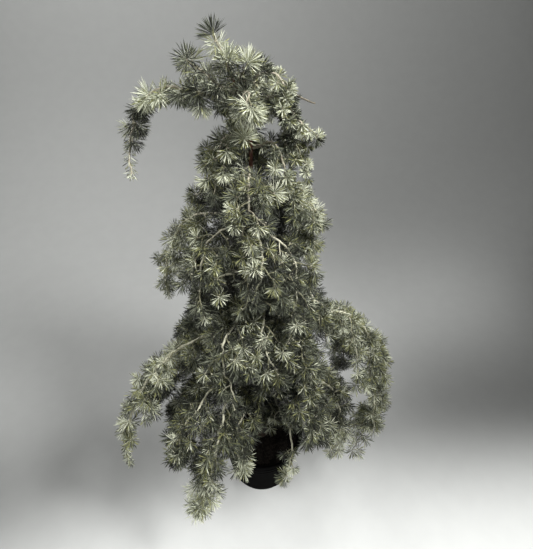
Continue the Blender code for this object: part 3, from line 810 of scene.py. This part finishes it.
YOUNG_FROM = {"left_arm": 0.80, "skirt_far_left": 0.70, "shoulder_left": 0.88}


def all_stems():
    """A search tree of points along every bough, and each point's bough."""
    owners, points = [], []
    for shoot in BOUGH_SHOOTS:
        for point, share in zip(shoot.line[::2], shoot.share[::2]):
            if share >= shoot.bough.bare:
                points.append(point)
                owners.append(shoot.bough.name)
    tree = kdtree.KDTree(len(points))
    for k, point in enumerate(points):
        tree.insert(point, k)
    tree.balance()
    return tree, owners


STEMS, STEM_OWNERS = all_stems()


def off_trunk(point):
    """How far out a point lies from the trunk's centreline."""
    middle = trunk_centre(min(point[2], TRUNK_TOP))
    return float(np.hypot(*(point - middle)[:2]))


def holds(bough, point, margin=SPACE_MARGIN):
    """True if the point is nearer to this bough than to any other, or nearly so."""
    if point[2] < FLOOR_CLEAR:
        return False
    out = off_trunk(point)
    if out < TRUNK_CLEAR and point[2] < TRUNK_TOP or out > bough.reach + REACH_MARGIN:
        return False
    _, _, nearest = STEMS.find(point)
    mine, _, apart = STEMS.find(point, filter=lambda k: STEM_OWNERS[k] == bough.name)
    return mine is not None and apart <= nearest + margin


def weeping_line(point, along, hand, length, droop, chance):
    """A shoot that leaves its parent at a slant, sways a little and then hangs."""
    side = np.cross(along, -UP)
    if np.linalg.norm(side) < 0.2:
        turn = chance.uniform(0, 2 * pi)
        side = np.array((cos(turn), sin(turn), 0.0))
    side = unit(side) * hand
    heading = unit(side + along * chance.uniform(0.35, 0.8) + UP * chance.uniform(0.0, 0.4))
    s = np.linspace(0, 1, 16)
    run = (length * s * (1 - 0.25 * s))[:, None] * heading
    fall = (droop * length * s * s)[:, None] * UP
    sway = (0.06 * length * np.sin(2 * pi * s * chance.uniform(0.6, 1.2)) * s)[:, None]
    return point + run - fall + sway * np.cross(heading, UP)


def marks_along(line, first, room, pitch, uneven, chance):
    """Marks along a line at an uneven pitch: the step each lies in, and how far on it is."""
    _, gone = lengths(line)
    mark = first
    while mark < gone[-1] - room:
        k, here = min(len(line) - 2, int(np.searchsorted(gone, mark))), mark
        mark += pitch * chance.uniform(*uneven)
        yield k, here


def fork(parent, first, pitch, length_at, droop, radius, order, chance, margin=SPACE_MARGIN):
    """Shoots off a parent, left and right in turn, that stay in the bough's own space."""
    line, grown = parent.line, []
    hand = chance.choice((-1, 1))
    young = YOUNG_FROM.get(parent.bough.name, 2.0)
    for k, _ in marks_along(line, first, END_ROOM, pitch, UNEVEN, chance):
        hand = -hand
        if parent.share[k] > young:
            continue
        length = length_at(parent.share[k]) * chance.uniform(0.62, 1.05)
        bend = chance.uniform(*droop)
        along = unit(line[k + 1] - line[k])
        for cut in (1.0, 0.7, 0.45):
            trial = weeping_line(line[k], along, hand, length * cut, bend, chance)
            if holds(parent.bough, trial[-1], margin) and holds(parent.bough, trial[9], margin):
                trial = jog(evenly(trial, SHOOT_STEP), chance, 0.0005)
                thin = np.linspace(radius, SHOOT_TIP_RADIUS, len(trial))
                thin = np.minimum(thin, 0.85 * parent.radii[k])
                share = np.full(len(trial), parent.share[k])
                grown.append(Shoot(parent.bough, trial, thin, share, order))
                break
    return grown


def grow_shoots():
    shoots = []
    for parent in BOUGH_SHOOTS[1:]:
        bough = parent.bough
        chance = dice(f"{bough.name} shoots")
        length = parent.line.shape[0] * RING_PITCH
        first = max(SHOOTS_FROM, bough.bare * length)
        open_grown = OPEN_GROWN.get(bough.name, 1.0)
        pitch = SHOOT_PITCH * open_grown * (0.55 + 0.45 * min(1.0, bough.spread / 0.07))
        long = LONG_SHOOTS.get(bough.name, 1.2)
        side = fork(parent, first, pitch,
                    lambda share: bough.spread * (long - SHOOT_SHRINK * share),
                    SHOOT_DROOP, SHOOT_RADIUS, 1, chance)
        if bough.name in CURTAINS:
            start, apart, drop = CURTAINS[bough.name]
            side += fork(parent, start, apart, lambda share: drop, CURTAIN_DROOP,
                         SHOOT_RADIUS, 1, chance, margin=CURTAIN_MARGIN)
        shoots += side
        for shoot in side:
            if len(shoot.line) * SHOOT_STEP > TWIGGED_LENGTH:
                shoots += fork(shoot, TWIGS_FROM, TWIG_PITCH * open_grown,
                               lambda share: TWIG_REACH, TWIG_DROOP, TWIG_RADIUS, 2, chance)
    return shoots


def crown_shoots():
    """Short stout shoots round the foot of the leader, each ending in one big tuft."""
    found = []
    for k, (root, *end) in enumerate(CROWN_SHOOTS):
        chance = dice(f"crown shoot {k}")
        foot, end = trunk_centre(root), np.array(end)
        s = np.linspace(0, 1, 12)[:, None]
        line = foot + (end - foot) * s - CROWN_SAG * s * (1 - s) * UP
        line = jog(line, chance, 0.0004)
        thin = np.linspace(SHOOT_RADIUS, STEM_TIP_RADIUS, len(line))
        found.append(Shoot(BOUGH_SHOOTS[0].bough, line, thin, s[:, 0], 0))
    return found


def dead_twig():
    """The one bare stick, straight out to the right from the shawl."""
    shawl = next(s for s in BOUGH_SHOOTS if s.bough.name == "shawl_right")
    foot = shawl.line[len(shawl.line) * 2 // 5]
    line = foot + np.linspace(0, 1, 12)[:, None] * DEAD_TWIG
    chance = dice("dead twig")
    return jog(line, chance, 0.0007), np.linspace(*DEAD_TWIG_RADII, 12), chance


SHOOTS = grow_shoots() + crown_shoots()


def make_shoots():
    pile = Pile()
    for k, shoot in enumerate(SHOOTS):
        chance = dice(f"bark {k}")
        sides = 5 if shoot.order == 1 else 4
        relief = stem_relief(chance, len(shoot.line), sides, 0.05)
        pale = shoot.order == 1 and k % 6 == 0
        pile.add(*tube(shoot.line, shoot.radii, sides, relief), 0 if pale else 2)
    line, radii, chance = dead_twig()
    pile.add(*tube(line, radii, 7, stem_relief(chance, len(line), 7, 0.08)), 1)
    # The twig that died last year has gone dark. This year's are green under a grey bloom.
    dry = mottled("dry_dark_twig", "#5b5547", 0.88, 6, "#474238", "#6f6858",
                  rough=(0.8, 0.95), depth_mm=0.3, detail=5.0)
    green = mottled("green_twig_bark", "#6b6a52", 0.8, 6, "#57573f", "#85836a",
                    rough=(0.7, 0.9), depth_mm=0.25, detail=5.0)
    made = add_object("weeping_shoots", pile.mesh("shoots"), [PALE_BARK, dry, green])
    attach(made, "root")


make_shoots()


# The spurs: short side buds, three to six millimetres long, ringed with old bud scales. One
# stands every twenty millimetres or so all along the shoots, and each carries a tuft.
SPUR_PITCH = 0.0195
LEADER_SPUR_PITCH = 0.013
SPUR_RADIUS = 0.0013
YOUNG_PITCH = 0.0008
YOUNG_STRETCH = 0.018
YOUNG_UNEVEN = (0.7, 1.3)
CORE_FOOT = 0.66
CORE_HIGH = 1.16
CORE_TOP = 1.29
CORE_LEADER = 1.31
RED_FROM = 1.21
RED_SHARE = 0.65
COVERED_BOUGHS = ("skirt_far_left", "skirt_right")
STEM_BARED = 0.55
SHORT_REACH = 0.10
STEM_ROOM = 0.015
HIDING_FACE = 0.25
HIDING_CUT = 0.8
TRUNK_ROOM = 0.014
GOLDEN_TURN = pi * (3 - 5**0.5)
Spur = namedtuple("Spur", "bough foot tip axis order at_tip single", defaults=(False, False))


def outward(point):
    """The way out of the crown and up, from the trunk through a point."""
    out = point - trunk_centre(min(point[2], TRUNK_TOP))
    out[2] = 0.0
    return unit(unit(out) + 0.9 * UP)


def bares_stem(bough):
    """True of the long boughs that lie bare over their foliage."""
    return bough.reach > SHORT_REACH and bough.name not in COVERED_BOUGHS


def slant(line, k, turn, lean):
    """A direction off a line at one of its steps: round it by an angle, and on along it."""
    along = unit(line[k + 1] - line[k])
    side = unit(np.cross(along, (0.17, 0.35, 0.92)))
    return unit(side * cos(turn) + np.cross(along, side) * sin(turn) + along * lean)


def spurs_on(shoot, pitch, chance):
    """Spurs up a shoot, each a golden turn from the last, and the one that ends it."""
    line = shoot.line
    young = YOUNG_FROM.get(shoot.bough.name, 2.0) if shoot.order == 0 else 2.0
    end = unit(line[-1] - line[-3])
    found = [Spur(shoot.bough, line[-2], line[-1], end, shoot.order, at_tip=True)]
    turn = chance.uniform(0, 2 * pi)
    length = lengths(line)[1][-1]
    first = 0.010 if shoot.order else max(0.012, 0.3 * shoot.bough.bare * length)
    for k, _ in marks_along(line, first, END_ROOM, pitch, UNEVEN, chance):
        turn += GOLDEN_TURN + chance.uniform(-0.4, 0.4)
        if shoot.share[k] > young:
            break
        axis = slant(line, k, turn, chance.uniform(0.2, 0.6))
        if shoot.order == 0 and bares_stem(shoot.bough):
            axis = unit(axis - STEM_BARED * outward(line[k]))
        tall = shoot.radii[k] + chance.uniform(0.002, 0.005)
        found.append(Spur(shoot.bough, line[k], line[k] + axis * tall, axis, shoot.order))
    return found


def young_needles(shoot, first, chance):
    """Single short needles all along the last part of a shoot, on this year's wood."""
    line, found = shoot.line, []
    steps, gone = lengths(line)
    turn = chance.uniform(0, 2 * pi)
    for k, mark in marks_along(line, first, 0.0, YOUNG_PITCH, YOUNG_UNEVEN, chance):
        place = line[k] + (line[k + 1] - line[k]) * (mark - gone[k]) / max(1e-6, steps[k])
        turn += GOLDEN_TURN
        axis = slant(line, k, turn, chance.uniform(0.3, 0.9))
        found.append(Spur(shoot.bough, place, place, axis, shoot.order, single=True))
    return found


def outer_face(spur):
    """How squarely a spur faces out of the crown and up, from -1 to 1."""
    return float(spur.axis.dot(outward(spur.foot)))


def trunk_spurs():
    """Spurs and short shoots on the trunk itself, which fill the crown's core."""
    found = []
    chance = dice("trunk spurs")
    z, turn = CORE_FOOT, 0.0
    while z < TRUNK_TOP:
        turn += GOLDEN_TURN
        high = z > CORE_HIGH
        least, most = (0.005, 0.020) if high else (0.020, 0.060)
        if z > CORE_LEADER:
            most = 0.032
        reach = trunk_radius(z) + chance.uniform(least, most)
        axis = unit(np.array((cos(turn), sin(turn), chance.uniform(-0.1, 0.5))))
        foot = trunk_centre(z)
        keeper = min(BOUGHS, key=lambda b: abs(b.height - z))
        # The red-brown bark shows at the front of the neck, so most spurs there are left out.
        red = RED_FROM < z < CORE_TOP and axis[1] < -0.75 and chance.random() < RED_SHARE
        if not red:
            found.append(Spur(keeper, foot, foot + axis * reach, axis, 1))
        pitch = 0.007 if high else 0.005
        z += 0.0045 if z > CORE_TOP else pitch
    return found


STEM_LINES = {shoot.bough.name: shoot.line for shoot in BOUGH_SHOOTS}


def hides_stem(spur):
    """True if a spur's tuft would cover the outer face of its own bough."""
    if spur.at_tip or outer_face(spur) < HIDING_FACE:
        return False
    apart = np.linalg.norm(STEM_LINES[spur.bough.name] - spur.tip, axis=1).min()
    return spur.order == 0 or apart < STEM_ROOM


def grow_spurs():
    """All spurs, less those against the trunk and most that would hide a bough."""
    kept = trunk_spurs()
    for k, shoot in enumerate(BOUGH_SHOOTS + SHOOTS):
        chance, name = dice(f"spurs {k}"), shoot.bough.name
        pitch = LEADER_SPUR_PITCH if name == "leader" else SPUR_PITCH
        pitch *= OPEN_GROWN.get(name, 1.0) ** 0.5
        for spur in spurs_on(shoot, pitch, chance):
            if off_trunk(spur.foot) < TRUNK_ROOM and spur.foot[2] < TRUNK_TOP - 0.02:
                continue
            if bares_stem(shoot.bough) and hides_stem(spur) and chance.random() < HIDING_CUT:
                continue
            kept.append(spur)
        young = YOUNG_FROM.get(name, 2.0)
        length = float(lengths(shoot.line)[0].sum())
        if shoot.order == 0 and young < 1:
            kept += young_needles(shoot, young * length, chance)
        elif shoot.order and k % 4 == 0:
            kept += young_needles(shoot, max(0.0, length - YOUNG_STRETCH), chance)
    return kept


SPURS = grow_spurs()


def make_spurs():
    pile = Pile()
    for spur in SPURS:
        if not spur.at_tip and not spur.single:
            line = np.stack((spur.foot, spur.tip))
            pile.add(*tube(line, np.array((0.9, 1.1)) * SPUR_RADIUS, 4))
    made = add_object("needle_spurs", pile.mesh("spurs"), [PALE_BARK])
    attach(made, "root")


make_spurs()


# The needles: stiff, four-sided and about an inch long, in a tuft of twenty to forty on each
# spur. A waxy bloom makes them grey-green. The newest tufts are paler. Tufts in the core
# and those that face in get darker tones as painted shade, and those high up, on the outer
# boughs and at the low front get paler tones partly as painted light. They are drawn about
# twice as wide as life, so that a tuft still reads as needles.
NEEDLE_LENGTH = 0.0245
NEEDLE_WIDTH = 0.0018
WAX_PATCH_MM = 2.5
BELLY_SHARE = 0.72
FOLD_ANGLE = 2.1
YOUNG_NEEDLE = 0.0155
BRUSH_TIP = (0.030, 84)
YOUNG_TIP = (0.012, 12)
SHORT_NEEDLED = {
    "shawl_right": 0.62, "top_right": 0.70, "neck_right": 0.80, "top_back": 0.85,
    "skirt_right": 0.90, "skirt_right_low": 0.92, "hem_right": 0.92, "skirt_dangle": 0.70,
}
BRUSH_TIPPED = ("leader", "top_left", "top_front", "skirt_front", "skirt_dangle")
NEEDLES_OUTER = 46
NEEDLES_INNER = 30
INNER_CORE = 0.055
PAINTED_SHADE_CORE = 0.065
TOP_FROM = 1.27
NECK_FROM = 1.18
PAINTED_SHADE_BELOW = 1.2
LONGER_FROM = 1.15
WAIST = 0.98
LOW_FROM = 0.62
TONES = (
    ("silver_bloom_needles", "#b9bca6"),
    ("olive_needles", "#7b7d51"),
    ("grey_green_needles", "#676b59"),
    ("sage_needles", "#373b2c"),
    ("shaded_inner_needles", "#13150d"),
)
PALE_BOUGHS = ("left_arm", "shoulder_left", "shoulder_right", "skirt_right", "skirt_far_left")
ZONES = {
    "top": ("leader", "left_arm", "shawl_right", "top", "neck"),
    "shoulder": ("shoulder",),
    "waist": ("waist",),
    "skirt_left": ("skirt_far_left", "skirt_left", "skirt_front_left", "hem_left"),
    "skirt_front": ("skirt_front", "skirt_middle", "skirt_dangle", "hem_front"),
    "skirt_right": ("skirt_right", "skirt_front_right", "skirt_right_low", "hem_right"),
    "skirt_back": ("skirt_back", "skirt_back_left", "skirt_back_right", "hem_back"),
}


def needle_finish(name, hex_code):
    """Needle skin under a wax bloom: grey-green, and matt where the wax is whole."""
    finish, tree, shader = new_finish(name, hex_code, 0.6)
    place = add_node(tree, "TexCoord").outputs["Object"]
    wax = add_node(tree, "TexNoise", {"Scale": 1000 / WAX_PATCH_MM, "Detail": 2.0},
                   {"Vector": place})
    rough = add_node(tree, "MapRange", {"To Min": 0.45, "To Max": 0.75}, {"Value": wax.outputs[0]})
    tree.links.new(rough.outputs[0], shader.inputs["Roughness"])
    return finish


def zone_of(bough):
    """The zone whose list names the bough in full, or else by its first word."""
    for zone, names in ZONES.items():
        if bough.name in names:
            return zone
    return next(z for z, names in ZONES.items() if bough.name.split("_")[0] in names)


def tone_of(spur, chance):
    """A tuft's tone: paler at the tips; darker in the core and where it faces in, as painted shade.
    """
    height = spur.foot[2]
    # Painted shade: tufts in the core below the neck get the darkest tones.
    if off_trunk(spur.foot) < PAINTED_SHADE_CORE and height < PAINTED_SHADE_BELOW:
        return chance.choice((3, 4, 4))
    # Paler tones at the low front: partly a bluer bloom, partly painted light.
    if height < 0.50 and spur.foot[1] < -0.12:
        return chance.choice((0, 0, 0, 0, 0, 2))
    # Paler tones on the top and neck: partly their own tone, partly painted light where the lamp
    # falls.
    if height > TOP_FROM:
        return chance.choice((0, 0, 0, 2, 3, 3))
    if height > NECK_FROM:
        return chance.choice((0, 0, 1, 2, 2, 3))
    # Paler tones on these outer boughs: partly their own tone, partly painted light.
    if spur.bough.name in PALE_BOUGHS:
        return chance.choice((0, 0, 1, 2, 2))
    # Painted shade: tufts that face in, below the neck, get darker tones.
    if outer_face(spur) < 0.0 and height < PAINTED_SHADE_BELOW:
        return chance.choice((2, 3, 3, 4))
    if spur.at_tip or spur.order == 2:
        return chance.choice((0, 0, 1, 2, 2, 3))
    return chance.choice((0, 1, 1, 2, 2, 3))


def low_front(spur):
    """From 0 to 1, how far a spur hangs down at the front."""
    return share_of(LOW_FROM - spur.foot[2], 0.35) * share_of(-spur.foot[1], 0.2)


def below_waist(spur):
    """From 0 at the waist of the crown to 1 over the whole skirt."""
    return share_of(WAIST - spur.foot[2], 0.25)


def tuft_sizes(spur, chance):
    """Needle length and count of a tuft: longest where a bough hangs low at the front."""
    if spur.single:
        return YOUNG_NEEDLE * chance.uniform(0.8, 1.2), 1
    if spur.bough.name in BRUSH_TIPPED and spur.at_tip and spur.order == 0:
        return BRUSH_TIP
    if spur.bough.name in YOUNG_FROM and spur.at_tip and spur.order == 0:
        return YOUNG_TIP
    low, skirt = low_front(spur), below_waist(spur)
    top = share_of(spur.foot[2] - LONGER_FROM, 0.15)
    length = NEEDLE_LENGTH * (1 + 0.14 * skirt + 0.30 * low + 0.15 * top) * chance.uniform(0.8, 1.1)
    length *= SHORT_NEEDLED.get(spur.bough.name, 1.0)
    count = NEEDLES_INNER if off_trunk(spur.foot) < INNER_CORE else NEEDLES_OUTER
    return length, round(count * (1 + 0.5 * top - 0.28 * skirt) * chance.uniform(0.8, 1.1))


def square_to(vectors):
    """For each unit vector, two more that make a right-angled set with it."""
    guide = np.where(np.abs(vectors[:, 2:]) < 0.8, (0.0, 0.0, 1.0), (1.0, 0.0, 0.0))
    first = np.cross(vectors, guide)
    first /= np.linalg.norm(first, axis=1)[:, None]
    return first, np.cross(vectors, first)


def needles_of(spurs, chance, rng):
    """Points, triangles and tones of every needle here, as folded blades of two faces."""
    sizes = [tuft_sizes(s, chance) for s in spurs]
    counts = np.array([n for _, n in sizes])

    def each(values):
        return np.repeat(values, counts, axis=0)

    tones = each([tone_of(s, chance) for s in spurs])
    tones = np.clip(tones + rng.choice((-1, 0, 0, 0, 1, 2), len(tones)), 0, len(TONES) - 1)
    place = each([s.tip for s in spurs])
    axis = each([s.axis for s in spurs])
    length = each([size for size, _ in sizes])
    at_tip = each([s.at_tip for s in spurs])
    index = np.concatenate([np.arange(n) for n in counts])
    share = (index + rng.random(len(index))) / each(counts)
    widest = np.where(at_tip, 0.15, -0.22)
    single = each([s.single for s in spurs])
    rise = np.where(single, 0.999, 0.985 + (widest - 0.985) * share)
    turn = index * GOLDEN_TURN + rng.normal(0, 0.25, len(index))
    side, across = square_to(axis)
    flat = np.sqrt(1 - rise**2)[:, None]
    heading = axis * rise[:, None] + flat * (side * np.cos(turn)[:, None]
                                             + across * np.sin(turn)[:, None])
    length = length * rng.uniform(0.8, 1.05, len(index))
    stout = each([1 + 0.42 * below_waist(s) for s in spurs])
    width = 0.5 * NEEDLE_WIDTH * stout * rng.uniform(0.8, 1.15, len(index))
    root = place + heading * 0.0008
    belly = root + heading * (BELLY_SHARE * length)[:, None]
    tip = root + heading * length[:, None]
    one, two = square_to(heading)
    spin = rng.uniform(0, 2 * pi, len(index))
    rim = []
    for angle in (spin, spin + FOLD_ANGLE):
        rim.append(belly + (width * np.cos(angle))[:, None] * one
                   + (width * np.sin(angle))[:, None] * two)
    points = np.stack((root, *rim, tip), 1).reshape(-1, 3)
    blade = np.array([(0, 1, 3), (0, 3, 2)])
    faces = (blade[None] + 4 * np.arange(len(index))[:, None, None]).reshape(-1, 3)
    return points, faces, np.repeat(tones, 2)


def nodes_of(bough):
    """The CAD masses of foliage that a bough carries."""
    names = [f"{bough.name}_foliage"]
    return names + [f"{bough.name}_tail"] if bough.masses == 2 else names


def make_needles():
    finishes = [needle_finish(name, hex_code) for name, hex_code in TONES]
    boughs = [shoot.bough for shoot in BOUGH_SHOOTS]
    for zone in ZONES:
        mine = {b.name: b for b in boughs if zone_of(b) == zone}
        spurs = [s for s in SPURS if s.bough.name in mine]
        rng = np.random.default_rng([SEED, len(zone), len(spurs)])
        points, faces, tones = needles_of(spurs, dice(zone), rng)
        mesh = mesh_of(f"{zone}_needles", points, faces, tones, smooth=False)
        made = add_object(f"{zone}_needles", mesh, finishes)
        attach(made, "root")
        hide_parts(*[node for b in mine.values() for node in nodes_of(b)])


make_needles()

[[list(corner) for corner in box] for box in (CAD_BOX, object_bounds())]
